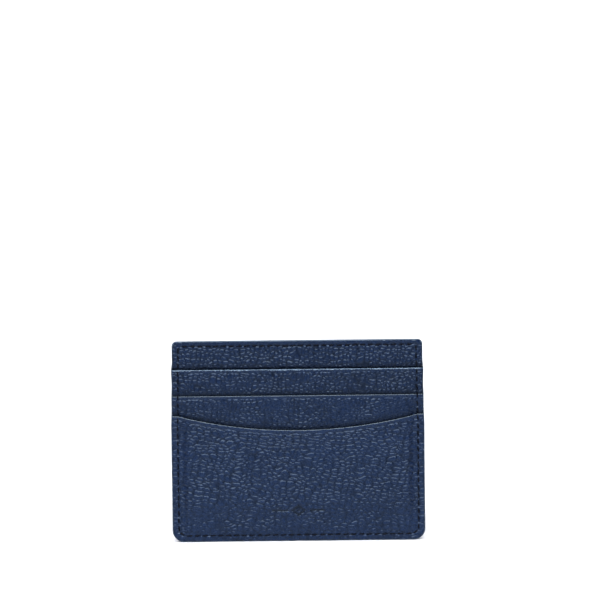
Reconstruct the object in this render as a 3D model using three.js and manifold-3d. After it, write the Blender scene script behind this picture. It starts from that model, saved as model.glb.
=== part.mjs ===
// A flat leather card holder: three card pockets on each face and an open pocket down the middle.
// Millimetres, +Z up. The front faces -Y, and the origin is the middle of the bottom edge.
// "Out" is the distance from the middle plane towards a face, so it runs along -Y on the front half.
import * as THREE from 'three';
import { mergeVertices } from 'three/addons/utils/BufferGeometryUtils.js';
import Module from 'manifold-3d';

const wasm = await Module();
wasm.setup();

// Outer shape.
const width = 100;
const height = 80;
const bottomCorner = 4.7;
const topCorner = 2;
const arcSegments = 6;

// Pocket mouths, measured up from the bottom edge.
const upperMouth = 68.4;
const middleMouth = 58;
const outerMouth = 49.9;
const scoopDepth = 5.9;

// A card is 54 tall, and its top stands this far above the mouth of its slot.
const cardHeight = 54;
const cardShows = 3.6;
const upperHem = upperMouth + cardShows - cardHeight;
const middleHem = middleMouth + cardShows - cardHeight;
const hemAllowance = 1.5;

// A slot is T-shaped: a band as wide as the holder, and a narrower tail below it.
const bandHeight = 12.3;
const tailHalfWidth = 43.5;

// Thicknesses, from the middle plane outwards, and the clearance that each layer keeps.
const pocketAir = 0.2;
const liningLeather = 0.3;
const panelLeather = 0.75;
const slotLeather = 0.5;
const outerLeather = 0.75;
const clearance = 0.06;

// A layer comes down off the edge of one below it over this distance.
const ramp = 2.5;

// The paint that seals and rounds every cut edge.
const coat = 0.3;

// Stitching: the thread is widest in the middle of a stitch and pinched at its needle holes.
const seamInset = 2.6;
const topSeamInset = 2;
const stitchLength = 3.1;
const threadDepth = 0.3;
const threadWidest = 0.5;
const threadPinched = 0.2;
const grooveDepth = 0.38;
const grooveWidth = 0.7;

const seamX = width / 2 - seamInset;
const rowEnd = seamX - 1.5;
const upperBottom = upperHem - hemAllowance;
const middleBottom = middleHem - hemAllowance;
const beyond = 1;
const through = 20;

const materials = {
  leather: [0x303d58, 0.55],
  lining: [0x2c3850, 0.7],
  edge_paint: [0x2a3550, 0.35],
  thread: [0x1d2840, 0.6],
};

// How much of a layer lies at (x, z): 1 inside the rectangle, falling to 0 over the ramp.
function inside(x, z, halfWidth, low, high) {
  const across = (halfWidth + ramp - Math.abs(x)) / ramp;
  const up = Math.min(z - low + ramp, high + ramp - z) / ramp;
  const clamp = (value) => Math.min(Math.max(value, 0), 1);
  return clamp(across) * clamp(up);
}

function slotCover(mouth, bottom) {
  return (x, z) => Math.max(
    inside(x, z, tailHalfWidth, bottom, mouth),
    inside(x, z, width, mouth - bandHeight, mouth),
  );
}

// The stack of one half, from the middle plane outwards: how thick each layer is, and where it lies.
const stack = {
  air: { thick: pocketAir, cover: (x, z) => inside(x, z, tailHalfWidth, middleBottom, 2 * height) },
  lining: { thick: liningLeather, cover: () => 1 },
  panel: { thick: panelLeather, cover: () => 1 },
  upper_slot: { thick: slotLeather, cover: slotCover(upperMouth, upperBottom) },
  middle_slot: { thick: slotLeather, cover: slotCover(middleMouth, middleBottom) },
  outer_pocket: { thick: outerLeather, cover: (x, z) => inside(x, z, width, -height, outerMouth) },
};

// The level that the named layer lies on at (x, z). With no name it is the finished surface.
function levelUnder(name, x, z) {
  let level = clearance / 2;
  for (const [layer, { thick, cover }] of Object.entries(stack)) {
    if (layer === name) break;
    level += (thick + clearance) * cover(x, z);
  }
  return level;
}

// The lines where the stack changes slope. Every sheet is folded along these same lines.
function foldLines() {
  const edges = [tailHalfWidth, tailHalfWidth + ramp, width / 2 + beyond];
  const xs = [...edges.map((x) => -x), ...edges];
  const zs = [-beyond, height + beyond, outerMouth, outerMouth + ramp];
  for (const [mouth, bottom] of [[upperMouth, upperBottom], [middleMouth, middleBottom]]) {
    zs.push(bottom - ramp, bottom, mouth, mouth + ramp);
    zs.push(mouth - bandHeight - ramp, mouth - bandHeight);
  }
  const ascending = (a, b) => a - b;
  return [xs.sort(ascending), zs.sort(ascending)];
}

const [xLines, zLines] = foldLines();

// A closed mesh as a solid that can be cut and joined.
function solidOf(geometry) {
  const bare = new THREE.BufferGeometry();
  bare.setAttribute('position', geometry.getAttribute('position'));
  bare.setIndex(geometry.index);
  const merged = mergeVertices(bare, 1e-4);
  const vertProperties = merged.attributes.position.array;
  const triVerts = new Uint32Array(merged.index.array);
  return new wasm.Manifold(new wasm.Mesh({ numProp: 3, vertProperties, triVerts }));
}

function geometryOf(solid) {
  const mesh = solid.getMesh();
  const geometry = new THREE.BufferGeometry();
  geometry.setAttribute('position', new THREE.BufferAttribute(mesh.vertProperties, 3));
  geometry.setIndex(new THREE.BufferAttribute(mesh.triVerts, 1));
  const faceted = geometry.toNonIndexed();
  faceted.computeVertexNormals();
  return faceted;
}

// Everything between two levels over the whole face: two folded grids and the wall round them.
function slab(under, over) {
  const columns = xLines.length;
  const rows = zLines.length;
  const grid = new THREE.PlaneGeometry(1, 1, columns - 1, rows - 1);
  const count = columns * rows;
  const positions = new Float32Array(6 * count);
  for (let i = 0; i < count; i++) {
    const x = xLines[i % columns];
    const z = zLines[rows - 1 - Math.floor(i / columns)];
    positions.set([x, -over(x, z), z], 3 * i);
    positions.set([x, -under(x, z), z], 3 * (count + i));
  }
  const outer = [...grid.index.array];
  const inner = outer.map((i) => i + count).reverse();
  const indices = [...outer, ...inner];
  const rim = [];
  for (let i = 0; i < columns - 1; i++) rim.push((rows - 1) * columns + i);
  for (let i = rows - 1; i > 0; i--) rim.push(i * columns + columns - 1);
  for (let i = columns - 1; i > 0; i--) rim.push(i);
  for (let i = 0; i < rows - 1; i++) rim.push(i * columns);
  rim.forEach((from, i) => {
    const to = rim[(i + 1) % rim.length];
    indices.push(to, from, from + count, to, from + count, to + count);
  });
  const geometry = new THREE.BufferGeometry();
  geometry.setAttribute('position', new THREE.BufferAttribute(positions, 3));
  geometry.setIndex(indices);
  return solidOf(geometry);
}

// The part of the stack that one layer fills, before it is cut to its outline.
function layerSlab(name) {
  const under = (x, z) => levelUnder(name, x, z);
  return slab(under, (x, z) => under(x, z) + stack[name].thick);
}

// A shape drawn in (x, z), cut right through the holder.
function cutter(shape) {
  const options = { depth: 2 * through, bevelEnabled: false, curveSegments: arcSegments };
  const geometry = new THREE.ExtrudeGeometry(shape, options);
  geometry.translate(0, 0, -through);
  const axes = [[1, 0, 0], [0, 0, 1], [0, -1, 0]].map((axis) => new THREE.Vector3(...axis));
  geometry.applyMatrix4(new THREE.Matrix4().makeBasis(...axes));
  return solidOf(geometry);
}

function rectangle(halfWidth, low, high) {
  const corners = [[-halfWidth, low], [halfWidth, low], [halfWidth, high], [-halfWidth, high]];
  return new THREE.Shape(corners.map((corner) => new THREE.Vector2(...corner)));
}

// The holder's outline, taken in by an even margin.
function outline(margin) {
  const x = width / 2 - margin;
  const top = height - margin;
  const low = bottomCorner - margin;
  const high = topCorner - margin;
  const shape = new THREE.Shape();
  shape.absarc(x - low, margin + low, low, -Math.PI / 2, 0, false);
  shape.absarc(x - high, top - high, high, 0, Math.PI / 2, false);
  shape.absarc(-x + high, top - high, high, Math.PI / 2, Math.PI, false);
  shape.absarc(-x + low, margin + low, low, Math.PI, 1.5 * Math.PI, false);
  return shape;
}

// Everything below the scooped mouth: level out to the side seams, and one arc between them.
function belowScoop(mouth) {
  const radius = (seamX ** 2 + scoopDepth ** 2) / (2 * scoopDepth);
  const sweep = Math.asin(seamX / radius);
  const middle = mouth - scoopDepth + radius;
  const shape = new THREE.Shape();
  shape.moveTo(-width, mouth);
  shape.lineTo(-width, -beyond);
  shape.lineTo(width, -beyond);
  shape.lineTo(width, mouth);
  shape.lineTo(seamX, mouth);
  shape.absarc(0, middle, radius, -Math.PI / 2 + sweep, -Math.PI / 2 - sweep, true);
  return shape;
}

// A slot's T shape up to a given height.
function slotShape(mouth, bottom, top) {
  const bandLow = mouth - bandHeight;
  const half = [[tailHalfWidth, bottom], [tailHalfWidth, bandLow], [width, bandLow], [width, top]];
  const other = half.map(([x, z]) => [-x, z]).reverse();
  return new THREE.Shape([...half, ...other].map((corner) => new THREE.Vector2(...corner)));
}

// Down one side, along the bottom and up the other side.
function sidesAndBottom() {
  const radius = bottomCorner - seamInset;
  const cornerX = seamX - radius;
  const path = new THREE.Path();
  path.moveTo(-seamX, height - topSeamInset);
  path.lineTo(-seamX, bottomCorner);
  path.absarc(-cornerX, bottomCorner, radius, Math.PI, 1.5 * Math.PI, false);
  path.lineTo(cornerX, seamInset);
  path.absarc(cornerX, bottomCorner, radius, -Math.PI / 2, 0, false);
  path.lineTo(seamX, height - topSeamInset);
  return path;
}

function across(z) {
  return new THREE.Path([new THREE.Vector2(-rowEnd, z), new THREE.Vector2(rowEnd, z)]);
}

// A thread along a path, as a band that swells in each stitch.
function threadShape(path) {
  const steps = 2 * Math.round(path.getLength() / stitchLength);
  const left = [];
  const right = [];
  for (let i = 0; i <= steps; i++) {
    const middle = path.getPointAt(i / steps);
    const along = path.getTangentAt(i / steps);
    const half = (i % 2 ? threadWidest : threadPinched) / 2;
    const sideways = new THREE.Vector2(-along.y, along.x).multiplyScalar(half);
    left.push(middle.clone().add(sideways));
    right.push(middle.clone().sub(sideways));
  }
  return new THREE.Shape([...left, ...right.reverse()]);
}

const inEdge = cutter(outline(coat + clearance));
const edgeRing = cutter(outline(0)).subtract(cutter(outline(coat)));
const ringTop = height - topCorner;

const surface = (x, z) => levelUnder(null, x, z);

// One coat of paint down the sides and along the bottom, over the edges of both halves.
function paintedEdge() {
  const belowTop = cutter(rectangle(width, -beyond, ringTop - clearance));
  return slab((x, z) => -surface(x, z), surface).intersect(edgeRing).intersect(belowTop);
}

function lining() {
  return layerSlab('lining').intersect(inEdge);
}

function panel() {
  return layerSlab('panel').intersect(inEdge);
}

// The coat on the top edge of one half, over its lining and its panel together.
function topLip() {
  const under = (x, z) => levelUnder('lining', x, z);
  const over = (x, z) => levelUnder('panel', x, z) + panelLeather;
  const atTop = cutter(rectangle(width, ringTop, height + beyond));
  return slab(under, over).intersect(edgeRing).intersect(atTop);
}

// A slot has a groove pressed along its hem, which the hem thread lies in.
function slot(name, mouth, bottom, hem) {
  const shape = slotShape(mouth, bottom, mouth - coat - clearance);
  const sheet = layerSlab(name).intersect(inEdge).intersect(cutter(shape));
  const top = (x, z) => levelUnder(name, x, z) + slotLeather;
  const groove = slab((x, z) => top(x, z) - grooveDepth, (x, z) => top(x, z) + beyond);
  const halfGroove = grooveWidth / 2;
  const row = cutter(rectangle(rowEnd - beyond, hem - halfGroove, hem + halfGroove));
  return sheet.subtract(groove.intersect(row));
}

function hemThread(name, hem) {
  const top = (x, z) => levelUnder(name, x, z) + slotLeather;
  const halfThread = threadWidest / 2;
  const row = cutter(rectangle(tailHalfWidth - 2 * beyond, hem - halfThread, hem + halfThread));
  return slab((x, z) => top(x, z) - threadDepth, top).intersect(row);
}

function slotLip(name, mouth) {
  const strip = cutter(rectangle(width, mouth - coat, mouth));
  return layerSlab(name).intersect(inEdge).intersect(strip);
}

function outerPocket() {
  const belowLip = cutter(belowScoop(outerMouth - coat - clearance));
  return layerSlab('outer_pocket').intersect(inEdge).intersect(belowLip);
}

function outerPocketLip() {
  const strip = cutter(belowScoop(outerMouth)).subtract(cutter(belowScoop(outerMouth - coat)));
  return layerSlab('outer_pocket').intersect(inEdge).intersect(strip);
}

function surfaceThread(path) {
  const under = (x, z) => surface(x, z) + clearance;
  return slab(under, (x, z) => under(x, z) + threadDepth).intersect(cutter(threadShape(path)));
}

function named(name, finish, solid) {
  const [color, roughness] = materials[finish];
  const material = new THREE.MeshStandardMaterial({ color, roughness, metalness: 0 });
  material.name = finish;
  const mesh = new THREE.Mesh(geometryOf(solid), material);
  mesh.name = name;
  return mesh;
}

const slots = [
  ['upper_slot', upperMouth, upperBottom, upperHem],
  ['middle_slot', middleMouth, middleBottom, middleHem],
];

// Every layer of one half, built as the front.
function half(side) {
  const group = new THREE.Group();
  group.add(named(`${side}_lining`, 'lining', lining()));
  group.add(named(`${side}_panel`, 'leather', panel()));
  group.add(named(`${side}_top_lip`, 'edge_paint', topLip()));
  for (const [name, mouth, bottom, hem] of slots) {
    group.add(named(`${side}_${name}`, 'leather', slot(name, mouth, bottom, hem)));
    group.add(named(`${side}_${name}_lip`, 'edge_paint', slotLip(name, mouth)));
    group.add(named(`${side}_${name}_hem_thread`, 'thread', hemThread(name, hem)));
  }
  group.add(named(`${side}_outer_pocket`, 'leather', outerPocket()));
  group.add(named(`${side}_outer_pocket_lip`, 'edge_paint', outerPocketLip()));
  group.add(named(`${side}_seam_thread`, 'thread', surfaceThread(sidesAndBottom())));
  group.add(named(`${side}_top_thread`, 'thread', surfaceThread(across(height - topSeamInset))));
  return group;
}

const cardHolder = new THREE.Group();
cardHolder.add(named('painted_edge', 'edge_paint', paintedEdge()));
cardHolder.add(half('front'));
const back = half('back');
back.rotation.z = Math.PI;
cardHolder.add(back);

export default cardHolder;
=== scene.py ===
"""Dresses the card holder: grained leather, painted edges, stitching, and a plain white studio."""

import functools
import math

import bmesh
import bpy
import numpy as np
from bpy.props import FloatProperty, FloatVectorProperty, PointerProperty
from mathutils import Matrix, Vector


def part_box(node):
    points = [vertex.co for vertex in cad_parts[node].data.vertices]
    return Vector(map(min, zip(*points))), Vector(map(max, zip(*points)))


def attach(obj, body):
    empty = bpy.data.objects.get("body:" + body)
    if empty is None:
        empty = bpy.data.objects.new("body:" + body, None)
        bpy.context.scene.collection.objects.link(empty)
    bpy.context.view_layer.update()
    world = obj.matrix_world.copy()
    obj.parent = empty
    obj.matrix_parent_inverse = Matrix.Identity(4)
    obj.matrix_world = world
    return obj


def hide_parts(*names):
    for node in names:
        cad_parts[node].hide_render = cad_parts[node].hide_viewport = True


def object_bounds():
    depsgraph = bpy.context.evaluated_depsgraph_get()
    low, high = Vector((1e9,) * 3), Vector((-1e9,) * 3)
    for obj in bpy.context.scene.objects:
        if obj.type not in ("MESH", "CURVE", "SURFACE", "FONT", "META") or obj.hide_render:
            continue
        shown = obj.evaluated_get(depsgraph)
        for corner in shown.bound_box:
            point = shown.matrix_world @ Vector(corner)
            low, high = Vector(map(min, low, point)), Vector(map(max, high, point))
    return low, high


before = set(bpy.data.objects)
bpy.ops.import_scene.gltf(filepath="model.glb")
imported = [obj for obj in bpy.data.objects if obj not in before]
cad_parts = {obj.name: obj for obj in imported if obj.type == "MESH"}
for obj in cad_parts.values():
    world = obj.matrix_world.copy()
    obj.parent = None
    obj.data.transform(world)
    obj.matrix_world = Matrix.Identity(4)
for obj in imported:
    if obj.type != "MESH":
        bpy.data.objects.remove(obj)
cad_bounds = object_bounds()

bl_info = {
    "name": "Card holder",
    "version": (1, 0, 0),
    "blender": (4, 5, 0),
    "location": "3D View > Sidebar > Card holder",
    "description": "Builds a stitched leather card holder round its frame",
    "category": "Object",
}

MM = 0.001
SIDES = ("front", "back")
PAINT_BUILD = 0.25 * MM  # How far the finished lips stand above the frame's.
SIDE_BUILD = 0.22 * MM  # How far the paint on the lower sides stands outside the frame's.


def top_of(node):
    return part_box(node)[1].z


def bottom_of(node):
    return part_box(node)[0].z


# ---------------------------------------------------------------- sizes and colours


class HolderSizes(bpy.types.PropertyGroup):
    """Sizes of the holder that its pieces are shaped by."""

    width: FloatProperty(
        name="Width",
        description="Width over the painted edges",
        default=cad_bounds[1].x - cad_bounds[0].x,
        unit="LENGTH",
    )
    height: FloatProperty(
        name="Height",
        description="Height over the painted edges",
        default=cad_bounds[1].z,
        unit="LENGTH",
    )
    bottom_corner: FloatProperty(
        name="Bottom corners",
        description="Radius of the two bottom corners",
        default=4.7 * MM,
        unit="LENGTH",
    )
    top_corner: FloatProperty(
        name="Top corners",
        description="Radius of the two top corners",
        default=2 * MM,
        unit="LENGTH",
    )
    upper_mouth: FloatProperty(
        name="Upper mouth",
        description="Height of the upper slot's mouth",
        default=top_of("front_upper_slot_lip") + PAINT_BUILD,
        unit="LENGTH",
    )
    middle_mouth: FloatProperty(
        name="Middle mouth",
        description="Height of the middle slot's mouth",
        default=top_of("front_middle_slot_lip") + PAINT_BUILD,
        unit="LENGTH",
    )
    outer_mouth: FloatProperty(
        name="Outer mouth",
        description="Height of the outer pocket's mouth at the side seams",
        default=top_of("front_outer_pocket_lip") + 2 * PAINT_BUILD,
        unit="LENGTH",
    )
    scoop_depth: FloatProperty(
        name="Scoop",
        description="How far the outer pocket's mouth dips in the middle",
        default=5.9 * MM,
        unit="LENGTH",
    )
    mouth_gape: FloatProperty(
        name="Gape",
        description="How far a mouth stands open in the middle",
        default=0.3 * MM,
        unit="LENGTH",
    )
    seam_inset: FloatProperty(
        name="Seam margin",
        description="From the outer edge to the side and bottom seam",
        default=2.6 * MM,
        unit="LENGTH",
    )
    top_seam_inset: FloatProperty(
        name="Top seam margin",
        description="From the top edge to the top row of stitches",
        default=2 * MM,
        unit="LENGTH",
    )
    stitch: FloatProperty(
        name="Stitch",
        description="Length of a stitch from hole to hole",
        default=3.1 * MM,
        unit="LENGTH",
    )
    thread: FloatProperty(
        name="Thread",
        description="Diameter of the sewing thread",
        default=0.62 * MM,
        unit="LENGTH",
    )


class HolderFinish(bpy.types.PropertyGroup):
    """Colours and grain that its materials are mixed from."""

    leather: FloatVectorProperty(
        name="Leather",
        description="Colour on the tops of the grain",
        default=(0.0054, 0.0126, 0.038),
        subtype="COLOR",
        size=3,
    )
    # Painted shade: the dark colour laid in the grain's valleys.
    valley: FloatVectorProperty(
        name="Valley shade",
        description="Colour in the valleys of the grain",
        default=(0.0006, 0.0016, 0.0060),
        subtype="COLOR",
        size=3,
    )
    # Painted shade: the dark colour laid in creases, needle dents, the stamp and above each mouth.
    shaded: FloatVectorProperty(
        name="Painted shade",
        description="Colour where the leather is pressed or pricked",
        default=(0.0005, 0.0010, 0.0030),
        subtype="COLOR",
        size=3,
    )
    edge: FloatVectorProperty(
        name="Edge paint",
        description="Colour of the painted edges",
        default=(0.046, 0.072, 0.110),
        subtype="COLOR",
        size=3,
    )
    thread: FloatVectorProperty(
        name="Thread",
        description="Colour of the sewing thread",
        default=(0.0012, 0.0022, 0.0060),
        subtype="COLOR",
        size=3,
    )
    lining: FloatVectorProperty(
        name="Lining",
        description="Colour of the centre pocket's lining",
        default=(0.020, 0.030, 0.060),
        subtype="COLOR",
        size=3,
    )
    grain_depth: FloatProperty(
        name="Grain depth",
        description="Height from the valleys of the grain to its tops",
        default=0.32 * MM,
        unit="LENGTH",
    )


# ---------------------------------------------------------------- soft shapes

# The stack of one half, from the middle plane outwards.
CLEARANCE = 0.06 * MM
POCKET_AIR = 0.2 * MM
LINING = 0.3 * MM
PANEL = 0.75 * MM
SLOT = 0.5 * MM
OUTER = 0.75 * MM
LAYERS = ("lining", "panel", "upper_slot", "middle_slot", "outer_pocket")
THICKNESS = dict(zip(LAYERS, (LINING, PANEL, SLOT, SLOT, OUTER)))

# The slots are T-shaped: a bar across the full width, and a tail between the side seams.
BAND_HEIGHT = 12.3 * MM
TAIL_HALF_WIDTH = 43.5 * MM
RAMP = 2.5 * MM  # A layer settles over this far past the edge of one that lies under it,
FALL = 8 * MM  # and over this far below the ends of the slots' tails.

# How deep the edge paint reaches in from the outer edge, and down from each layer's mouth.
COAT = 0.3 * MM
LIP = {
    "lining": 0.55 * MM,
    "panel": 0.55 * MM,
    "upper_slot": 0.5 * MM,
    "middle_slot": 0.34 * MM,
    "outer_pocket": 0.34 * MM,
}
TOP_PULL = 0.34 * MM  # The side seams pull the outline in this far above the upper mouth,
WAIST_PULL = 0.16 * MM  # and this far between the upper and the middle one.


def smooth(value):
    """An even step from 0 to 1, level at both ends."""
    value = np.clip(value, 0.0, 1.0)
    return value * value * (3 - 2 * value)


def bell(value):
    return np.exp(-value * value)


def scatter(a, b, seed):
    """A repeatable number from 0 to 1 for each pair of whole numbers."""
    value = np.sin(a * 127.1 + b * 311.7 + seed * 74.7) * 43758.5453
    return value - np.floor(value)


def drift(x, z, size, seed):
    """Soft noise from 0 to 1 whose lumps are about size across."""
    u, v = x / size, z / size
    a, b = np.floor(u), np.floor(v)
    s, t = smooth(u - a), smooth(v - b)
    low = scatter(a, b, seed) * (1 - s) + scatter(a + 1, b, seed) * s
    high = scatter(a, b + 1, seed) * (1 - s) + scatter(a + 1, b + 1, seed) * s
    return low * (1 - t) + high * t


def grain_cells(x, z, size, stretch, seed):
    """The grain's cells: 0 in the valleys between them, rising to about 1 on top."""
    warp = 0.75 * size
    u = x + warp * (drift(x, z, 3.1 * size, seed + 5) - 0.5) * 2
    v = z + warp * (drift(x, z, 2.3 * size, seed + 9) - 0.5) * 2
    u, v = u / (size * stretch), v / size
    a, b = np.floor(u), np.floor(v)
    first = np.full(np.shape(x), 9.0)
    second = first.copy()
    for i in (-1, 0, 1):
        for j in (-1, 0, 1):
            p, q = a + i, b + j
            across = p + 0.12 + 0.76 * scatter(p, q, seed) - u
            up = q + 0.12 + 0.76 * scatter(p, q, seed + 31) - v
            away = np.hypot(across, up)
            second = np.minimum(second, np.maximum(first, away))
            first = np.minimum(first, away)
    valley = smooth((second - first) / 0.55)
    dome = 1 - np.clip(first / 0.85, 0, 1) ** 2
    return 0.5 * valley + 0.5 * dome


def hairlines(x, z, seed):
    """Fine creases that run up and down the leather: 1 in a crease, 0 between them."""
    found = np.zeros(np.shape(x))
    for size, share in ((1.9 * MM, 1.0), (1.1 * MM, 0.6)):
        swayed = x + 0.7 * MM * drift(x, z, 6 * MM, seed + 4)
        noise = drift(swayed, 0.16 * z, size, seed + size * 1e4)
        ridge = 1 - np.abs(2 * noise - 1)
        found = np.maximum(found, share * smooth((ridge - 0.80) / 0.2))
    return found * smooth((drift(x, z, 8 * MM, seed + 8) - 0.25) / 0.4)


def sizes():
    return bpy.context.scene.holder_sizes


def finish():
    return bpy.context.scene.holder_finish


def half_width(z):
    """Half the width of the outline at each height: the seams pull it in between the mouths."""
    s = sizes()
    low, high = s.bottom_corner, s.top_corner
    pulled = TOP_PULL * smooth((z - s.upper_mouth) / (3 * MM))
    pulled = pulled + WAIST_PULL * bell((z - s.middle_mouth - 4.5 * MM) / (3 * MM))
    pulled = pulled - SIDE_BUILD * smooth((s.outer_mouth + 4 * MM - z) / (9 * MM))
    under = np.clip(low - z, 0, low)
    over = np.clip(z - s.height + high, 0, high)
    corner = low - np.sqrt(np.maximum(low**2 - under**2, 0))
    corner = corner + high - np.sqrt(np.maximum(high**2 - over**2, 0))
    return s.width / 2 - pulled - corner


def scoop(x):
    """Height of the outer pocket's mouth: level past the side seams, one arc between them."""
    s = sizes()
    seam_x = s.width / 2 - s.seam_inset
    radius = (seam_x**2 + s.scoop_depth**2) / (2 * s.scoop_depth)
    inside = np.minimum(np.abs(x), seam_x)
    return s.outer_mouth - s.scoop_depth + radius - np.sqrt(radius**2 - inside**2)


def mouth_of(layer, x):
    s = sizes()
    if layer == "outer_pocket":
        return scoop(x)
    heights = {"upper_slot": s.upper_mouth, "middle_slot": s.middle_mouth}
    return np.full(np.shape(x), heights.get(layer, s.height))


def covered(x, z, half, low, high, fall=RAMP):
    across = smooth((half + RAMP - np.abs(x)) / RAMP)
    return across * smooth((z - low + fall) / fall) * smooth((high + RAMP - z) / RAMP)


def slot_bottom(slot):
    return bottom_of(f"front_{slot}")


def cover(layer, x, z):
    """How much of a layer lies at (x, z), from 0 to 1."""
    s = sizes()
    if layer in ("lining", "panel"):
        return np.ones(np.shape(x))
    if layer == "outer_pocket":
        return smooth((scoop(x) + RAMP - z) / RAMP)
    mouth = mouth_of(layer, 0.0)
    tail = covered(x, z, TAIL_HALF_WIDTH, slot_bottom(layer), mouth, FALL)
    band = covered(x, z, s.width, mouth - BAND_HEIGHT, mouth)
    return np.maximum(tail, band)


def gape(layer, x, z):
    """How far a layer stands off the one below it near its mouth."""
    s = sizes()
    seam_x = s.width / 2 - s.seam_inset
    reach = 8.5 * MM
    bowed = np.clip(1 - (x / seam_x) ** 2, 0, 1) ** 0.8
    mouth = mouth_of("panel" if layer == "lining" else layer, x)
    return s.mouth_gape * bowed * smooth((z - mouth + reach) / reach)


def level(layer, x, z):
    """How far out a layer's underside lies. With no layer it is the finished surface."""
    out = np.full(np.shape(x), CLEARANCE / 2)
    out = out + POCKET_AIR * covered(x, z, TAIL_HALF_WIDTH, slot_bottom("middle_slot"), 1.0, FALL)
    for name in LAYERS:
        if name == layer:
            break
        out = out + (THICKNESS[name] + CLEARANCE) * cover(name, x, z)
    return out


def seam_distance(x, z):
    """Signed distance from the side and bottom seam, positive outside it."""
    s = sizes()
    radius = s.bottom_corner - s.seam_inset
    across = np.abs(x) - (half_width(z) - s.seam_inset - radius)
    down = s.bottom_corner - z
    round_corner = np.hypot(np.maximum(across, 0), np.maximum(down, 0))
    return np.where((across > 0) & (down > 0), round_corner, np.maximum(across, down)) - radius


def rounded_u(half, end, base, radius, steps):
    """A path from (-half, end) round two corners on the base line to (half, end), and its tangents."""
    turn = 1 if end > base else -1
    straight = abs(end - base) - radius
    across = 2 * (half - radius)
    arc = math.pi / 2 * radius
    spans = np.cumsum([straight, arc, across, arc, straight])
    points, tangents = [], []
    for t in np.linspace(0, spans[-1], steps + 1):
        if t <= spans[0]:
            point, way = (-half, end - turn * t), (0, -turn)
        elif t <= spans[1]:
            a = (t - spans[0]) / max(radius, 1e-9)
            point = (-half + radius - radius * math.cos(a), base + turn * radius * (1 - math.sin(a)))
            way = (math.sin(a), -turn * math.cos(a))
        elif t <= spans[2]:
            point, way = (-half + radius + t - spans[1], base), (1, 0)
        elif t <= spans[3]:
            a = (t - spans[2]) / max(radius, 1e-9)
            point = (half - radius + radius * math.sin(a), base + turn * radius * (1 - math.cos(a)))
            way = (math.cos(a), turn * math.sin(a))
        else:
            point, way = (half, base + turn * (radius + t - spans[3])), (0, turn)
        points.append(point)
        tangents.append(way)
    return np.array(points), np.array(tangents)


def fit_sides(points):
    """Pulls a path in with the sides of the outline."""
    s = sizes()
    x, z = points[:, 0], points[:, 1]
    plain = s.width / 2
    middle = np.clip(z, s.bottom_corner, s.height - s.top_corner)
    return np.stack([x * half_width(middle) / plain, z], axis=1)


def seam_path():
    """The side and bottom seam, a point for each needle hole."""
    s = sizes()
    half = s.width / 2 - s.seam_inset
    radius = s.bottom_corner - s.seam_inset
    end = s.height - s.top_seam_inset
    length = 2 * (end - s.seam_inset - radius) + 2 * (half - radius) + math.pi * radius
    points, tangents = rounded_u(half, end, s.seam_inset, radius, round(length / s.stitch))
    return fit_sides(points), tangents


def top_path():
    """The top row of stitches, a point for each needle hole."""
    s = sizes()
    half = s.width / 2 - s.seam_inset - s.stitch / 2
    count = round(2 * half / s.stitch)
    x = np.linspace(-half, half, count + 1)
    points = np.stack([x, np.full(count + 1, s.height - s.top_seam_inset)], axis=1)
    return points, np.tile([1.0, 0.0], (count + 1, 1))


# ---------------------------------------------------------------- leather surface


def pricked(x, z, holes):
    """The dimple round each needle hole."""
    wide = 0.36 * MM
    deep = np.zeros(np.shape(x))
    for hole_x, hole_z in holes:
        near = np.flatnonzero((np.abs(x - hole_x) < 3 * wide) & (np.abs(z - hole_z) < 3 * wide))
        deep[near] += bell(np.hypot(x[near] - hole_x, z[near] - hole_z) / wide)
    return deep


def ornament(x, z):
    """A small lozenge with a fine line on either side, 1 where the stamp presses."""
    centre, high, wide = 12.4 * MM, 2.5 * MM, 3.1 * MM
    soft = 0.3 * MM
    up = z - centre
    lozenge = np.abs(x) / wide + np.abs(up) / high
    ring = smooth((1.0 - lozenge) * high / soft + 0.5) - smooth((0.46 - lozenge) * high / soft + 0.5)
    dot = smooth((0.2 - lozenge) * high / soft + 0.5)
    line_half, line_start, line_end = 0.42 * MM, 4.3 * MM, 10.6 * MM
    off_line = np.maximum(np.abs(up) - line_half, np.maximum(line_start - np.abs(x), np.abs(x) - line_end))
    return np.maximum(np.maximum(ring, dot), smooth(0.5 - off_line / soft))


# Each layer's grain: cell size, how much longer than high, depth against the deepest, seed.
GRAIN = {
    "panel": (1.65 * MM, 1.10, 1.15, 3),
    "upper_slot": (1.45 * MM, 1.25, 1.2, 14),
    "middle_slot": (1.45 * MM, 1.30, 0.88, 25),
    "outer_pocket": (1.42 * MM, 1.9, 1.08, 36),
}
GRAIN_TILT = math.radians(-9)
FINE_GRAIN = 0.52  # Size of the small cells against the large ones.
# At this strength the grain's valleys take their full painted shade.
FULL_GRAIN = 0.95  # The strength at which the valleys reach their full colour.
CREASED = {"panel": 0.0, "upper_slot": 0.7, "middle_slot": 0.55, "outer_pocket": 0.35}
CREASE_BELOW = {"upper_slot": 1.1 * MM, "middle_slot": 1.1 * MM, "outer_pocket": 1.35 * MM}
SEAM_GROOVE = 0.16 * MM
NEEDLE_DENT = 0.22 * MM
STAMP_DEPTH = 0.34 * MM
DEEPEST = 0.8  # No mark sinks past this share of the leather's thickness.


def visible_from(layer, x):
    """The height above which a layer shows, at the mouth of the layer over it."""
    above = dict(zip(LAYERS, LAYERS[1:]))
    if layer == "outer_pocket":
        return np.full(np.shape(x), -1.0)
    return mouth_of(above[layer], x)


def grain_strength(layer, x, z, seed):
    """How strong the grain is: it drifts, is flattened at the mouth, and softens low on the outer pocket."""
    strength = GRAIN[layer][2] * (0.72 + 0.46 * drift(x, z, 9 * MM, seed + 2))
    if layer == "outer_pocket":
        strength = strength * (0.85 + 0.15 * smooth((z - 3 * MM) / (20 * MM)))
    below_mouth = mouth_of(layer, x) - z
    return strength * (0.25 + 0.75 * smooth((below_mouth - 0.5 * MM) / (1.4 * MM)))


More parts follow.
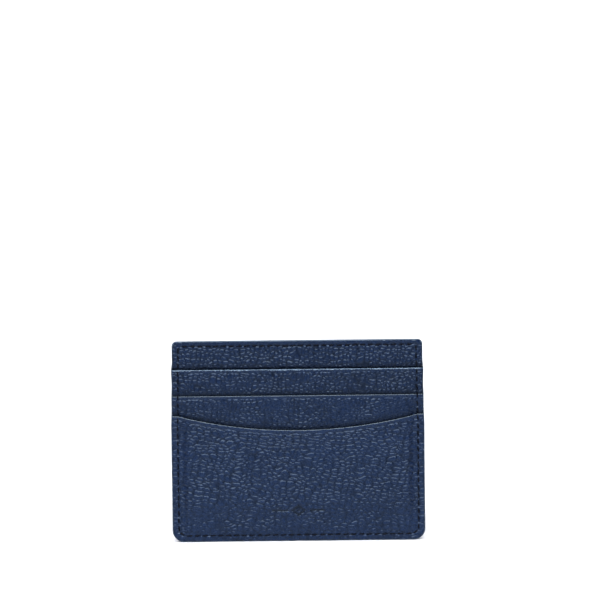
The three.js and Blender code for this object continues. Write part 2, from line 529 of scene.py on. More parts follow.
def grain_relief(layer, x, z, seed):
    """Large cells with small ones mixed in, from 0 in the valleys to about 1."""
    size, stretch = GRAIN[layer][:2]
    along = x * math.cos(GRAIN_TILT) + z * math.sin(GRAIN_TILT)
    up = z * math.cos(GRAIN_TILT) - x * math.sin(GRAIN_TILT)
    cells = grain_cells(along, up, size, stretch, seed)
    fine = grain_cells(along, up, FINE_GRAIN * size, 1.0, seed + 7)
    mixed = 0.14 + 0.3 * drift(x, z, 5 * MM, seed + 3)
    return (1 - mixed) * cells + mixed * fine


def creases(layer, x, z, seed):
    """Hairline creases, on the outer pocket mostly low down."""
    creased = CREASED[layer] * hairlines(x, z, seed + 60)
    if layer == "outer_pocket":
        creased = creased * (0.25 + 0.75 * smooth((17 * MM - z) / (10 * MM)))
    return creased


def seam_marks(layer, x, z):
    """The groove that the seams draw, and the dents of their needle holes."""
    s = sizes()
    holes = pricked(x, z, seam_path()[0])
    groove = bell(seam_distance(x, z) / (0.5 * MM))
    if layer == "panel":
        top_row = bell((z - s.height + s.top_seam_inset) / (0.5 * MM))
        groove = np.maximum(groove, top_row * (np.abs(x) < s.width / 2 - s.seam_inset))
        holes = holes + pricked(x, z, top_path()[0])
    return groove, holes


def leather_depth(layer, side, x, z):
    """How far a layer's face is sunk, how high its grain is, and where shade is painted on it."""
    seed = GRAIN[layer][3] + 100 * SIDES.index(side)
    below_mouth = mouth_of(layer, x) - z
    shows = smooth((z - visible_from(layer, x) + 1.2 * MM) / (1.0 * MM))
    strength = grain_strength(layer, x, z, seed) * shows
    relief = grain_relief(layer, x, z, seed)
    creased = creases(layer, x, z, seed) * shows
    # Painted shade in the hairline creases.
    shaded = 0.35 * creased
    sunk = finish().grain_depth * (strength * (1 - relief) + 0.3 * creased)
    # The grain's height also sets its colour: valleys and hairline creases are painted dark as shade, which
    # fades where the grain is weak.
    grain = (1 - np.minimum(strength / FULL_GRAIN, 1) * (1 - relief)) * (1 - 0.5 * creased)
    # A crease is sunk in a line below each mouth.
    if layer != "panel":
        line = bell((below_mouth - CREASE_BELOW[layer]) / (0.36 * MM))
        sunk = sunk + (0.16 + 0.10 * drift(x, z, 3 * MM, seed + 6)) * MM * line
    # It is pinched in under the mouth of the layer over it, and the band just above that mouth is painted dark
    # as the shade in the mouth's gap.
    if layer != "outer_pocket":
        above_mouth = np.maximum(z - visible_from(layer, x), 0)
        tucked = bell(above_mouth / (0.6 * MM)) * shows
        leaning = bell(above_mouth / (1.9 * MM)) * shows
        sunk = sunk + 0.30 * MM * tucked + 0.20 * MM * leaning
        shaded = np.maximum(shaded, np.maximum(tucked, 0.6 * leaning))
    # The seams pull the leather down round their needle holes, and the dents are painted dark as shade.
    groove, holes = seam_marks(layer, x, z)
    groove, holes = groove * shows, holes * shows
    sunk = sunk * (1 - 0.6 * groove) + SEAM_GROOVE * groove + NEEDLE_DENT * holes
    shaded = np.maximum(shaded, 0.35 * holes)
    # The front pocket's stamp is sunk, and its strokes are painted dark as the shade in the recess.
    if layer == "outer_pocket" and side == "front":
        mark = ornament(x, z)
        sunk = sunk * (1 - mark) + STAMP_DEPTH * mark
        shaded = np.maximum(shaded, 0.8 * mark)
    # The face rounds over at its cut edges.
    ease = 0.9 * MM
    for inward in (half_width(z) - np.abs(x), below_mouth, z):
        sunk = sunk + 0.16 * MM * (1 - np.clip(inward / ease, 0, 1)) ** 2
    return np.minimum(sunk, DEEPEST * THICKNESS[layer]), grain, np.minimum(shaded, 1.0)


# ---------------------------------------------------------------- mesh helpers

# A sheet's back is plain, so it needs few columns and rows.
BACK_COLUMNS = 44
BACK_ROWS = 28
STITCH_REACH = 0.40  # Half of what shows of a stitch, against the distance between its holes.
STITCH_DIVE = 0.42 * MM  # How far its ends dive into the leather.


def rows_between(*spans):
    """Heights at even steps over each (start, end, step) span in turn."""
    found = []
    for start, end, step in spans:
        count = max(1, round((end - start) / step))
        found.extend(start + (end - start) * i / count for i in range(count))
    found.append(spans[-1][1])
    return np.array(found)


def finished(bm, name, side, material, replaced, attributes=None):
    """Makes the object: faces outwards, turned for the back half, riding on the frame."""
    bmesh.ops.recalc_face_normals(bm, faces=bm.faces)
    if bm.calc_volume(signed=True) < 0:
        bmesh.ops.reverse_faces(bm, faces=bm.faces)
    if side == "back":
        half_turn = Matrix.Rotation(math.pi, 3, "Z")
        bmesh.ops.rotate(bm, cent=(0, 0, 0), matrix=half_turn, verts=bm.verts)
    mesh = bpy.data.meshes.new(name)
    bm.to_mesh(mesh)
    bm.free()
    mesh.polygons.foreach_set("use_smooth", [True] * len(mesh.polygons))
    for key, values in (attributes or {}).items():
        attribute = mesh.attributes.new(key, "FLOAT", "POINT")
        attribute.data.foreach_set("value", np.asarray(values, np.float32))
    piece = bpy.data.objects.new(name, mesh)
    bpy.context.scene.collection.objects.link(piece)
    mesh.materials.append(material)
    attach(piece, "root")
    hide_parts(*replaced)
    return piece


def grid_points(bm, columns, rows):
    """Adds a grid and gives its corners with each one's share across, -1 to 1, and its row's height."""
    verts = bmesh.ops.create_grid(bm, x_segments=columns, y_segments=len(rows) - 1, size=1.0)["verts"]
    flat = np.array([v.co for v in verts])
    row = np.rint((flat[:, 1] + 1) / 2 * (len(rows) - 1)).astype(int)
    return verts, flat[:, 0], rows[row]


def place(verts, x, y, z):
    for vert, point in zip(verts, np.stack([x, y, z], axis=1)):
        vert.co = point


def spread(layer, share, z, margin):
    """Fits grid corners to a layer's outline."""
    if layer == "outer_pocket":
        full = sizes().outer_mouth
        low = full - 14 * MM
        limit = scoop(share * (half_width(z) - margin))
        squeezed = low + (z - low) * (limit - low) / (full - low)
        z = np.where(z > low, squeezed, z)
    half = half_width(z) - margin
    x = share * half
    if layer in ("upper_slot", "middle_slot"):
        # Below the T's bar only the outer columns are drawn in, so the rest run straight down.
        steady = 30 * MM
        drawn_in = np.sign(x) * (steady + (np.abs(x) - steady) * (TAIL_HALF_WIDTH - steady) / (half - steady))
        below_bar = z < mouth_of(layer, 0.0) - BAND_HEIGHT
        x = np.where(below_bar & (np.abs(x) > steady), drawn_in, x)
    return x, z


def leather_sheet(side, layer, fine_rows, columns, material):
    """One layer as a closed shell: a finely grained face, a plain back, and the cut edge between."""
    margin = COAT + CLEARANCE
    under_lip = LIP[layer] + 0.5 * CLEARANCE
    drop = np.where(fine_rows > fine_rows[-1] - 1e-9, under_lip, 0.0)
    bm = bmesh.new()
    face, share, z = grid_points(bm, columns, fine_rows - drop)
    x, z = spread(layer, share, z, margin)
    under = level(layer, x, z) + gape(layer, x, z)
    sunk, grain, shaded = np.zeros(len(x)), np.ones(len(x)), np.zeros(len(x))
    if layer != "lining":
        sunk, grain, shaded = leather_depth(layer, side, x, z)
    place(face, x, -(under + THICKNESS[layer] - sunk), z)
    ledges = np.flatnonzero(np.diff(fine_rows) < 0.1 * MM)
    picked = [*range(0, len(fine_rows), max(1, len(fine_rows) // BACK_ROWS)), *ledges, *(ledges + 1)]
    coarse = fine_rows[np.unique(picked)]
    coarse = np.append(coarse[coarse < fine_rows[-1] - MM], fine_rows[-1] - under_lip)
    back, share, z = grid_points(bm, BACK_COLUMNS, coarse)
    x, z = spread(layer, share, z, margin)
    place(back, x, -(level(layer, x, z) + gape(layer, x, z)), z)
    bmesh.ops.bridge_loops(bm, edges=[edge for edge in bm.edges if edge.is_boundary])
    attributes = {
        "grain": np.concatenate([grain, np.ones(len(back))]),
        "shaded": np.concatenate([shaded, np.zeros(len(back))]),
    }
    name = f"{side}_{layer}_{'leather' if layer != 'lining' else 'skin'}"
    return finished(bm, name, side, material, [f"{side}_{layer}"], attributes)


def bead(name, side, path, outward, front, back, reach, rounding, material, replaced):
    """A coat of edge paint along a path, reach deep. It rounds over on to its front and back by the two
    roundings, is a little crowned, and is closed at its ends."""
    crown, arc_steps = 0.05 * MM, 5
    turns = [math.pi / 2 * i / arc_steps for i in range(arc_steps + 1)]
    front_side, back_side = (
        [(reach - (reach - crown) * math.sin(a), share, way * radius * (1 - math.cos(a))) for a in turns]
        for share, way, radius in ((0.0, 1, rounding[0]), (1.0, -1, rounding[1]))
    )
    section = front_side + [(0.0, 0.5, (rounding[0] - rounding[1]) / 2)] + back_side[::-1] + [front_side[0]]
    bm = bmesh.new()
    count = len(path)
    verts = bmesh.ops.create_grid(bm, x_segments=count - 1, y_segments=len(section) - 1, size=1.0)["verts"]
    flat = np.array([v.co for v in verts])
    along = np.rint((flat[:, 0] + 1) / 2 * (count - 1)).astype(int)
    across = np.rint((flat[:, 1] + 1) / 2 * (len(section) - 1)).astype(int)
    down, share, inset = np.array(section)[across].T
    uneven = drift(path[:, 0], path[:, 1], 3.5 * MM, len(name))[along]
    down = np.where(down > 0.9 * reach, down, down * (0.75 + 0.5 * uneven))
    point = path[along] - outward[along] * down[:, None]
    out = front[along] + (back[along] - front[along]) * share - inset * (0.8 + 0.4 * uneven)
    place(verts, point[:, 0], -out, point[:, 1])
    bmesh.ops.remove_doubles(bm, verts=bm.verts, dist=0.001 * MM)
    bmesh.ops.holes_fill(bm, edges=[edge for edge in bm.edges if edge.is_boundary], sides=0)
    return finished(bm, name, side, material, replaced)


def stitches(name, side, holes, out_at, material, replaced):
    """A row of stitches: each one rises out of a needle hole, arches over the leather and dives again."""
    s = sizes()
    radius = s.thread / 2
    bm = bmesh.new()
    slant = math.radians(5)
    for number, (start, end) in enumerate(zip(holes[:-1], holes[1:])):
        middle = (start + end) / 2
        way = (end - start) / np.linalg.norm(end - start)
        lean = slant * (0.7 + 0.6 * scatter(number, 3, SIDES.index(side) + 1))
        way = np.array([
            way[0] * math.cos(lean) - way[1] * math.sin(lean),
            way[0] * math.sin(lean) + way[1] * math.cos(lean),
        ])
        sideways = np.array([-way[1], way[0]])
        reach = np.linalg.norm(end - start) * STITCH_REACH
        verts = bmesh.ops.create_uvsphere(bm, u_segments=8, v_segments=8, radius=1.0)["verts"]
        ball = np.array([v.co for v in verts])
        t = ball[:, 2]
        round_off = np.sqrt(np.maximum(1 - t**2, 1e-9))
        thick = radius * np.sqrt(1 - np.abs(t) ** 5) / np.maximum(round_off, 1e-4)
        thick = thick * (np.abs(t) < 0.9999)
        flat = middle + np.outer(t * reach, way) + np.outer(ball[:, 0] * thick, sideways)
        surface = out_at(np.array([middle[0]]), np.array([middle[1]]))[0]
        lift = surface - 0.02 * MM - STITCH_DIVE * np.abs(t) ** 3.2
        place(verts, flat[:, 0], -(lift + ball[:, 1] * thick), flat[:, 1])
    return finished(bm, name, side, material, replaced)


# ---------------------------------------------------------------- materials


def shader_group(name, inputs, outputs):
    """An empty shader node group with named sockets."""
    tree = bpy.data.node_groups.new(name, "ShaderNodeTree")
    for label, kind, value in inputs:
        socket = tree.interface.new_socket(name=label, in_out="INPUT", socket_type=kind)
        if value is not None:
            socket.default_value = value
    for label, kind in outputs:
        tree.interface.new_socket(name=label, in_out="OUTPUT", socket_type=kind)
    return tree, tree.nodes.new("NodeGroupInput"), tree.nodes.new("NodeGroupOutput")


def fill(tree, socket, value):
    """Sets a socket to a value, or links it from another socket."""
    if isinstance(value, bpy.types.NodeSocket):
        tree.links.new(value, socket)
    else:
        socket.default_value = value


def add_node(tree, kind, settings=None, **inputs):
    """Adds a node. Inputs are values, or sockets to link from."""
    node = tree.nodes.new(kind)
    for key, value in (settings or {}).items():
        setattr(node, key, value)
    for key, value in inputs.items():
        fill(tree, node.inputs[key], value)
    return node


def math_node(tree, operation, *values, clamp=False):
    node = add_node(tree, "ShaderNodeMath", {"operation": operation, "use_clamp": clamp})
    for socket, value in zip(node.inputs, values):
        fill(tree, socket, value)
    return node.outputs[0]


def blend_colours(tree, factor, low, high):
    node = add_node(tree, "ShaderNodeMix", {"data_type": "RGBA"})
    for name, value in (("Factor", factor), ("A", low), ("B", high)):
        socket = next(s for s in node.inputs if s.name == name and (name == "Factor" or s.type == "RGBA"))
        fill(tree, socket, value)
    return next(s for s in node.outputs if s.type == "RGBA")


def bump_node(tree, height, strength, distance, **normal):
    return add_node(
        tree, "ShaderNodeBump", None, Strength=strength, Distance=distance, Height=height, **normal
    ).outputs["Normal"]


def span(tree, value, low, high):
    """A 0 to 1 value spread from low to high."""
    return math_node(tree, "MULTIPLY_ADD", value, high - low, low)


def make_pores_group():
    """Pores and hair-fine wrinkles: a height for a bump, from 0 to 1."""
    inputs = [
        ("Vector", "NodeSocketVector", None),
        ("Scale", "NodeSocketFloat", 3200.0),
        ("Wrinkles", "NodeSocketFloat", 0.5),
    ]
    tree, given, result = shader_group("Pores", inputs, [("Height", "NodeSocketFloat")])
    vector, scale, wrinkles = (given.outputs[name] for name in ("Vector", "Scale", "Wrinkles"))
    pores = add_node(tree, "ShaderNodeTexVoronoi", {"feature": "SMOOTH_F1"}, Vector=vector, Scale=scale)
    fine = add_node(tree, "ShaderNodeTexNoise", None, Vector=vector, Scale=scale, Detail=4.0, Roughness=0.6)
    stretched = add_node(tree, "ShaderNodeMapping", None, Vector=vector, Scale=(0.35, 1.0, 1.0)).outputs[0]
    ridged = {"noise_type": "RIDGED_MULTIFRACTAL"}
    creased = add_node(tree, "ShaderNodeTexNoise", ridged, Vector=stretched, Scale=900.0, Detail=3.0)
    wrinkle = math_node(tree, "MULTIPLY", creased.outputs["Fac"], wrinkles)
    height = math_node(tree, "MULTIPLY_ADD", pores.outputs["Distance"], 0.55, fine.outputs["Fac"])
    fill(tree, result.inputs["Height"], math_node(tree, "SUBTRACT", height, wrinkle))
    return tree


def make_mottle_group():
    """Slow drifts of shade, as in dyed hide: a mask from 0 to 1."""
    inputs = [("Vector", "NodeSocketVector", None), ("Scale", "NodeSocketFloat", 60.0)]
    tree, given, result = shader_group("Mottle", inputs, [("Mask", "NodeSocketFloat")])
    vector, scale = given.outputs["Vector"], given.outputs["Scale"]
    cloud = add_node(tree, "ShaderNodeTexNoise", None, Vector=vector, Scale=scale, Detail=3.0, Roughness=0.55)
    mask = math_node(tree, "MULTIPLY_ADD", cloud.outputs["Fac"], 2.2, -0.6, clamp=True)
    fill(tree, result.inputs["Mask"], mask)
    return tree


def make_polish_group():
    """Where handling polishes the tops of the grain: a mask from 0 to 1."""
    inputs = [
        ("Grain", "NodeSocketFloat", 1.0),
        ("Mottle", "NodeSocketFloat", 0.5),
        ("Start", "NodeSocketFloat", 0.6),
    ]
    tree, given, result = shader_group("Handling polish", inputs, [("Mask", "NodeSocketFloat")])
    above = math_node(tree, "SUBTRACT", given.outputs["Grain"], given.outputs["Start"])
    raised = math_node(tree, "MULTIPLY", above, 2.5, clamp=True)
    patchy = math_node(tree, "MULTIPLY_ADD", given.outputs["Mottle"], 0.6, 0.4)
    fill(tree, result.inputs["Mask"], math_node(tree, "MULTIPLY", raised, patchy))
    return tree


GROUPS = {"Pores": make_pores_group, "Mottle": make_mottle_group, "Handling polish": make_polish_group}


def group_node(tree, name, **inputs):
    """Places a shared effect in a material, making its group the first time."""
    made = bpy.data.node_groups.get(name) or GROUPS[name]()
    return add_node(tree, "ShaderNodeGroup", {"node_tree": made}, **inputs).outputs[0]


def new_material(name):
    material = bpy.data.materials.new(name)
    material.use_nodes = True
    tree = material.node_tree
    shader = next(n for n in tree.nodes if n.type == "BSDF_PRINCIPLED")
    coordinates = tree.nodes.new("ShaderNodeTexCoord").outputs["Object"]
    return material, tree, shader, coordinates


def made_once(make):
    """Hands out the material by its name, making it the first time."""

    @functools.wraps(make)
    def handed_out(name, *values, **settings):
        return bpy.data.materials.get(name) or make(name, *values, **settings)

    return handed_out


def rgba(colour, factor=1.0):
    return tuple(min(1.0, c * factor) for c in colour) + (1.0,)


COOL_GLOSS = (0.78, 0.89, 1.0, 1.0)
LEATHER_GLOSS = (0.56, 0.74, 1.0, 1.0)


@made_once
def leather_material(name, shade=1.0, wrinkles=0.35):
    """Dyed grained leather: painted shade in the valleys, creases, needle dents, stamp and above each mouth,
    satin tops, fine pores.
    """
    f = finish()
    material, tree, shader, where = new_material(name)
    grain = add_node(tree, "ShaderNodeAttribute", {"attribute_name": "grain"}).outputs["Fac"]
    shaded = add_node(tree, "ShaderNodeAttribute", {"attribute_name": "shaded"}).outputs["Fac"]
    mottle = group_node(tree, "Mottle", Vector=where, Scale=70.0)
    polish = group_node(tree, "Handling polish", Grain=grain, Mottle=mottle)
    # Painted shade: the grain's valleys are coloured darker than its tops.
    valley_shade = blend_colours(tree, mottle, rgba(f.valley, 0.9 * shade), rgba(f.valley, 1.15 * shade))
    top_side = blend_colours(tree, mottle, rgba(f.leather, 0.9 * shade), rgba(f.leather, 1.12 * shade))
    colour = blend_colours(tree, grain, valley_shade, top_side)
    # Painted shade: creases, needle dents, the stamp and the band above each mouth are coloured dark.
    colour = blend_colours(tree, shaded, colour, rgba(f.shaded, shade))
    fill(tree, shader.inputs["Base Color"], colour)
    fill(tree, shader.inputs["Roughness"], span(tree, polish, 0.29, 0.22))
    height = group_node(tree, "Pores", Vector=where, Scale=3200.0, Wrinkles=wrinkles)
    rounded = bump_node(tree, grain, 1.0, 0.12 * MM)
    fill(tree, shader.inputs["Normal"], bump_node(tree, height, 0.6, 0.03 * MM, Normal=rounded))
    shader.inputs["Specular IOR Level"].default_value = 0.28
    shader.inputs["Specular Tint"].default_value = LEATHER_GLOSS
    return material


@made_once
def edge_material(name, shade):
    """Edge paint: several thin coats, sanded between, so it is satin and a little wavy."""
    material, tree, shader, where = new_material(name)
    mottle = group_node(tree, "Mottle", Vector=where, Scale=220.0)
    colour = finish().edge
    # shade above 1 lightens the paint as a painted highlight, and below 1 darkens it as painted shade.
    low, high = rgba(colour, 0.88 * shade), rgba(colour, 1.12 * shade)
    fill(tree, shader.inputs["Base Color"], blend_colours(tree, mottle, low, high))
    fill(tree, shader.inputs["Roughness"], span(tree, mottle, 0.30, 0.42))
    height = group_node(tree, "Pores", Vector=where, Scale=1400.0, Wrinkles=0.1)
    fill(tree, shader.inputs["Normal"], bump_node(tree, height, 0.35, 0.03 * MM))
    shader.inputs["Specular Tint"].default_value = COOL_GLOSS
    shader.inputs["Coat Weight"].default_value = 0.1
    shader.inputs["Coat Roughness"].default_value = 0.25
    return material


@made_once
def thread_material(name):
    """Waxed twisted thread: slanting plies with a dull shine."""
    material, tree, shader, where = new_material(name)
    slanting = {"wave_type": "BANDS", "bands_direction": "DIAGONAL"}
    plies = add_node(tree, "ShaderNodeTexWave", slanting, Vector=where, Scale=620.0, Distortion=0.6)
    plies = plies.outputs["Fac"]
    colour = finish().thread
    # The plies are painted darker in their grooves and lighter on their crowns, as painted shade and painted
    # highlight.
    fill(tree, shader.inputs["Base Color"], blend_colours(tree, plies, rgba(colour, 0.6), rgba(colour, 1.35)))
    fill(tree, shader.inputs["Roughness"], span(tree, plies, 0.66, 0.5))
    fill(tree, shader.inputs["Normal"], bump_node(tree, plies, 0.8, 0.05 * MM))
    shader.inputs["Specular IOR Level"].default_value = 0.08
    return material


@made_once
def lining_material(name):
    """Smooth lining leather, matte, with hardly any grain."""
    material, tree, shader, where = new_material(name)
    mottle = group_node(tree, "Mottle", Vector=where, Scale=90.0)
    colour = finish().lining
    fill(tree, shader.inputs["Base Color"], blend_colours(tree, mottle, rgba(colour, 0.85), rgba(colour, 1.15)))
    fill(tree, shader.inputs["Roughness"], span(tree, mottle, 0.62, 0.74))
    height = group_node(tree, "Pores", Vector=where, Scale=5200.0, Wrinkles=0.2)
    fill(tree, shader.inputs["Normal"], bump_node(tree, height, 0.6, 0.02 * MM))
    return material


def paper_material():
    """The studio's white paper."""
    material, tree, shader, where = new_material("White paper")
    mottle = group_node(tree, "Mottle", Vector=where, Scale=9.0)
    fill(tree, shader.inputs["Roughness"], span(tree, mottle, 0.88, 0.94))
    shader.inputs["Base Color"].default_value = (0.84, 0.845, 0.885, 1.0)
    shader.inputs["Specular IOR Level"].default_value = 0.1
    return material


# ---------------------------------------------------------------- operators

FINE = 0.25 * MM
COARSE = 1.6 * MM
COLUMNS = 384
# How far the paint rounds over on to the front and the back.
LIP_ROUNDINGS = {
    "upper_slot": (0.27 * MM, 0.05 * MM),
    "middle_slot": (0.12 * MM, 0.08 * MM),
    "outer_pocket": (0.11 * MM, 0.1 * MM),
}
TOP_ROUNDING = (0.45 * MM, 0.1 * MM)
EDGE_ROUNDING = (0.22 * MM, 0.22 * MM)
LIP_SINK = 0.10 * MM  # How far the lips' paint lies behind the leather's face,
EDGE_SINK = 0.12 * MM  # and the outer edge's.
# The upper mouth's paint is lightened as a painted highlight. The others and the outer edge are darkened as
# painted shade.
HIGHLIT_PAINT = ("Edge paint with painted highlight", 1.5)
SHADED_PAINT = ("Edge paint with painted shade", 0.6)
PAINTS = {"upper_slot": HIGHLIT_PAINT, "middle_slot": SHADED_PAINT, "outer_pocket": SHADED_PAINT}


class HOLDER_OT_linings(bpy.types.Operator):
    """Builds the two walls of the centre pocket"""

    bl_idname = "holder.linings"
    bl_label = "Linings"

    def execute(self, context):
        rows = rows_between((COAT + CLEARANCE, 5 * MM, 0.4 * MM), (5 * MM, sizes().height, COARSE))
        material = lining_material("Lining leather")
        for side in SIDES:
            leather_sheet(side, "lining", rows, 100, material)
        return {"FINISHED"}


class HOLDER_OT_panels(bpy.types.Operator):
    """Builds the full-height panels, grained where they show above the slots"""

    bl_idname = "holder.panels"
    bl_label = "Panels"

    def execute(self, context):
        s = sizes()
        shows = s.upper_mouth - 1.5 * MM
        start = COAT + CLEARANCE
        rows = rows_between((start, 5 * MM, 0.4 * MM), (5 * MM, shows, COARSE), (shows, s.height, FINE))
        material = leather_material("Panel leather", shade=0.96, wrinkles=0.25)
        for side in SIDES:
            leather_sheet(side, "panel", rows, COLUMNS, material)
        return {"FINISHED"}


class HOLDER_OT_slots(bpy.types.Operator):
    """Builds the T-shaped card slots, grained where they show"""

    bl_idname = "holder.slots"
    bl_label = "Card slots"

    def execute(self, context):
        s = sizes()
        material = leather_material("Slot leather", shade=1.0, wrinkles=0.45)
        for slot, mouth, next_mouth in (
            ("upper_slot", s.upper_mouth, s.middle_mouth),
            ("middle_slot", s.middle_mouth, s.outer_mouth - s.scoop_depth),
        ):
            bar_low, ledge = mouth - BAND_HEIGHT, 0.02 * MM
            shows = next_mouth - 1.5 * MM
            below = rows_between((slot_bottom(slot), min(shows, bar_low - ledge), COARSE))
            if shows < bar_low:
                below = np.append(below[:-1], rows_between((shows, bar_low - ledge, FINE)))
                above = rows_between((bar_low, mouth, FINE))
            else:
                above = rows_between((bar_low, shows, COARSE), (shows, mouth, FINE))
            for side in SIDES:
                leather_sheet(side, slot, np.append(below, above), COLUMNS, material)
        return {"FINISHED"}


class HOLDER_OT_outer_pockets(bpy.types.Operator):
    """Builds the scooped outer pockets, the front one with its blind-stamped ornament"""

    bl_idname = "holder.outer_pockets"
    bl_label = "Outer pockets"

    def execute(self, context):
        rows = rows_between((COAT + CLEARANCE, sizes().outer_mouth, FINE))
        material = leather_material("Pocket leather", shade=1.06, wrinkles=0.45)
        for side in SIDES:
            leather_sheet(side, "outer_pocket", rows, COLUMNS, material)
        return {"FINISHED"}


def paint_top(side):
    """Paints the top edge and top corners of a panel and its lining."""
    s = sizes()
    path, tangents = rounded_u(s.width / 2, s.height - s.top_corner, s.height, s.top_corner, 420)
    path = fit_sides(path)
    outward = np.stack([-tangents[:, 1], tangents[:, 0]], axis=1)
    x, z = path.T
    swing = gape("panel", x, np.full(len(x), s.height))
    front = level("upper_slot", x, z) - CLEARANCE + swing - LIP_SINK
    back = level("lining", x, z) + swing
    name = f"{side}_top_lip"
    paint = edge_material("Edge paint", 1.0)
    bead(f"{name}_coat", side, path, outward, front, back, LIP["panel"], TOP_ROUNDING, paint, [name])


def paint_mouth(side, layer):
    """Paints the edge of a slot's or an outer pocket's mouth."""
    ends = half_width(mouth_of(layer, 0.0)) - COAT
    x = np.linspace(-ends, ends, 401)
    z = mouth_of(layer, x)
    outward = np.stack([-np.gradient(z, x), np.ones(len(x))], axis=1)
    outward /= np.linalg.norm(outward, axis=1)[:, None]
    back = level(layer, x, z) + gape(layer, x, z)
    front = back + THICKNESS[layer] - LIP_SINK
    path = np.stack([x, z], axis=1)
    name = f"{side}_{layer}_lip"
    paint, rounding = edge_material(*PAINTS[layer]), LIP_ROUNDINGS[layer]
    bead(f"{name}_coat", side, path, outward, front, back, LIP[layer], rounding, paint, [name])


class HOLDER_OT_lips(bpy.types.Operator):
    """Builds the painted edges of the pocket mouths"""

    bl_idname = "holder.lips"
    bl_label = "Painted mouths"

    def execute(self, context):
        for side in SIDES:
            paint_top(side)
            for layer in PAINTS:
                paint_mouth(side, layer)
        return {"FINISHED"}


class HOLDER_OT_painted_edge(bpy.types.Operator):
    """Builds the coat of paint down both sides and along the bottom"""

    bl_idname = "holder.painted_edge"
    bl_label = "Painted edge"

    def execute(self, context):
        s = sizes()
        path, tangents = rounded_u(s.width / 2, s.height - s.top_corner, 0.0, s.bottom_corner, 560)
        path = fit_sides(path)
        outward = np.stack([tangents[:, 1], -tangents[:, 0]], axis=1)
        front = level(None, path[:, 0], path[:, 1]) - CLEARANCE - EDGE_SINK
        # The outer edge's paint is darkened as painted shade.
        paint = edge_material(*SHADED_PAINT)
        replaced = ["painted_edge"]
        bead("painted_edge_coat", "front", path, outward, front, -front, COAT, EDGE_ROUNDING, paint, replaced)
        return {"FINISHED"}


class HOLDER_OT_stitching(bpy.types.Operator):
    """Sews the side, bottom and top seams on both faces, and finishes the hidden hem threads"""

    bl_idname = "holder.stitching"
    bl_label = "Stitching"

    def execute(self, context):
        def on_seam(x, z):
            return level(None, x, z) - CLEARANCE - 0.10 * MM

        def on_top(x, z):
            return level("upper_slot", x, z) - CLEARANCE + gape("panel", x, z) - 0.08 * MM

        thread = thread_material("Waxed thread")
        for side in SIDES:
            stitches(f"{side}_seam_stitches", side, seam_path()[0], on_seam, thread, [f"{side}_seam_thread"])
            stitches(f"{side}_top_stitches", side, top_path()[0], on_top, thread, [f"{side}_top_thread"])
            for slot in ("upper_slot", "middle_slot"):
                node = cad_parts[f"{side}_{slot}_hem_thread"]
                node.data.materials.clear()
                node.data.materials.append(thread)
        return {"FINISHED"}


class HOLDER_OT_stage(bpy.types.Operator):
    """Lays the white paper, and sets the lights and the camera"""

    bl_idname = "holder.stage"
    bl_label = "Stage"

    def execute(self, context):
        s = sizes()
        lay_paper()
        light_studio(s.height)
        aim_camera(s)
        return {"FINISHED"}


def lay_paper():
    """A white sweep: floor, a curve, and a wall behind."""
    bm = bmesh.new()
    half, front, turn, radius, high = 3.0, -2.5, 0.9, 0.5, 2.4
    first = bm.verts.new((-half, front, 0.0))
    second = bm.verts.new((-half, turn, 0.0))
    bm.edges.new((first, second))
    middle, quarter = (-half, turn, radius), math.pi / 2
    bent = bmesh.ops.spin(
        bm, geom=[second], cent=middle, axis=(1, 0, 0), dvec=(0, 0, 0), angle=quarter, steps=16
    )
    last = next(v for v in bent["geom_last"] if isinstance(v, bmesh.types.BMVert))
    wall = bmesh.ops.extrude_vert_indiv(bm, verts=[last])
    bmesh.ops.translate(bm, verts=wall["verts"], vec=(0, 0, high))
    bmesh.ops.remove_doubles(bm, verts=bm.verts, dist=0.01 * MM)
    out = bmesh.ops.extrude_edge_only(bm, edges=list(bm.edges))
    across = [v for v in out["geom"] if isinstance(v, bmesh.types.BMVert)]
    bmesh.ops.translate(bm, verts=across, vec=(2 * half, 0, 0))
    bmesh.ops.recalc_face_normals(bm, faces=bm.faces)
    mesh = bpy.data.meshes.new("paper")
    bm.to_mesh(mesh)
    bm.free()
    mesh.polygons.foreach_set("use_smooth", [True] * len(mesh.polygons))
    paper = bpy.data.objects.new("paper", mesh)
    bpy.context.scene.collection.objects.link(paper)
    mesh.materials.append(paper_material())


def soft_box(name, place_at, aim_at, wide, high, power, grid=180):
    """An area light. A grid under 180 degrees is a honeycomb that keeps it to what it is aimed at."""
    light = bpy.data.lights.new(name, "AREA")
    light.spread = math.radians(grid)
    light.shape = "RECTANGLE"
    light.size, light.size_y = wide, high
    light.energy = power
    lamp = bpy.data.objects.new(name, light)
    lamp.location = place_at
    lamp.rotation_euler = (Vector(aim_at) - Vector(place_at)).to_track_quat("-Z", "Y").to_euler()
    bpy.context.scene.collection.objects.link(lamp)


def light_studio(height):
    """Three key lights above and in front, weaker ones over and beside the holder, and one on the backdrop."""
    middle = (0.0, 0.0, height / 2)
    reach, rise = 0.70, 0.56
    for name, turn in (("key left", -34), ("key", -4), ("key right", 26)):
        turn = math.radians(turn)
        stands = (reach * math.sin(turn), -reach * math.cos(turn), rise)
        soft_box(name, stands, middle, 0.40, 0.50, 0.58, 50)
    soft_box("overhead", (0.0, 0.0, 0.50), middle, 0.35, 0.25, 0.20, 80)
    soft_box("left", (-0.50, -0.06, 0.30), middle, 0.2, 0.2, 0.15)
    soft_box("right", (0.50, -0.06, 0.30), middle, 0.2, 0.2, 0.12)
    soft_box("backdrop", (0.0, 0.74, 1.0), (0.0, 0.92, 0.0), 2.2, 0.9, 12.5, 100)
    world = bpy.data.worlds.new("Studio")
    bpy.context.scene.world = world
    world.use_nodes = True
    background = world.node_tree.nodes["Background"]
    background.inputs["Color"].default_value = (0.84, 0.91, 1.0, 1.0)
    background.inputs["Strength"].default_value = 0.15


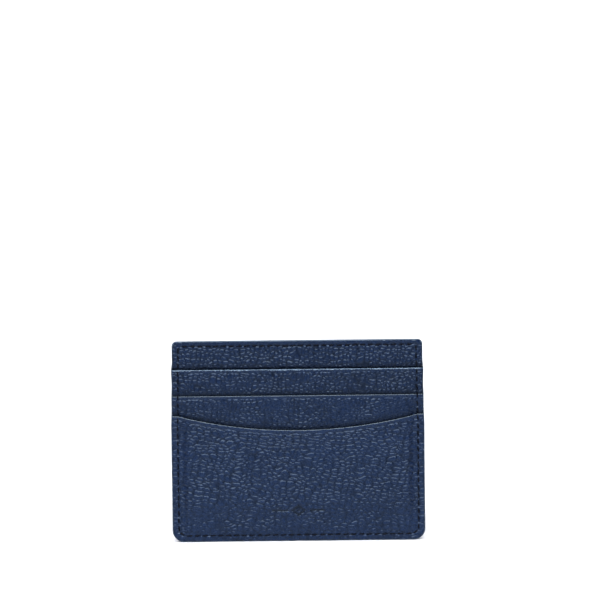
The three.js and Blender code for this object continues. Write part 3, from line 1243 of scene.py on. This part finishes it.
def aim_camera(s):
    """A long lens, a little above the holder, with the holder in the lower half of the view."""
    frame_width, distance = 238 * MM, 1.5
    elevation, roll = math.radians(5), math.radians(0.65)
    aside, above = 0.8 * MM, 55.7 * MM
    camera = bpy.data.cameras.new("Camera")
    camera.lens = camera.sensor_width / frame_width * distance
    camera.clip_end = 20
    holder = bpy.data.objects.new("Camera", camera)
    bpy.context.scene.collection.objects.link(holder)
    back = Vector((0, -math.cos(elevation), math.sin(elevation)))
    turned = Matrix.Rotation(-roll, 3, back) @ (-back).to_track_quat("-Z", "Y").to_matrix()
    aim = Vector((0, 0, s.height / 2)) + turned @ Vector((aside, above, 0))
    holder.matrix_world = Matrix.Translation(aim + back * distance) @ turned.to_4x4()
    bpy.context.scene.camera = holder
    bpy.context.scene.view_settings.view_transform = "Standard"


class HOLDER_PT_pieces(bpy.types.Panel):
    """Lists the sizes, the finish and the pieces"""

    bl_idname = "HOLDER_PT_pieces"
    bl_label = "Card holder"
    bl_space_type = "VIEW_3D"
    bl_region_type = "UI"
    bl_category = "Card holder"

    def draw(self, context):
        for group in (context.scene.holder_sizes, context.scene.holder_finish):
            box = self.layout.box()
            for name in group.bl_rna.properties.keys():
                if name not in ("rna_type", "name"):
                    box.prop(group, name)
        for operator in OPERATORS:
            self.layout.operator(operator.bl_idname)


OPERATORS = (
    HOLDER_OT_stage,
    HOLDER_OT_linings,
    HOLDER_OT_panels,
    HOLDER_OT_slots,
    HOLDER_OT_outer_pockets,
    HOLDER_OT_lips,
    HOLDER_OT_painted_edge,
    HOLDER_OT_stitching,
)
CLASSES = (HolderSizes, HolderFinish, *OPERATORS, HOLDER_PT_pieces)


def register():
    for item in CLASSES:
        bpy.utils.register_class(item)
    bpy.types.Scene.holder_sizes = PointerProperty(type=HolderSizes)
    bpy.types.Scene.holder_finish = PointerProperty(type=HolderFinish)


def unregister():
    del bpy.types.Scene.holder_finish
    del bpy.types.Scene.holder_sizes
    for item in reversed(CLASSES):
        bpy.utils.unregister_class(item)


def main():
    register()
    for operator in OPERATORS:
        group, name = operator.bl_idname.split(".")
        getattr(getattr(bpy.ops, group), name)()


if __name__ == "__main__":
    main()
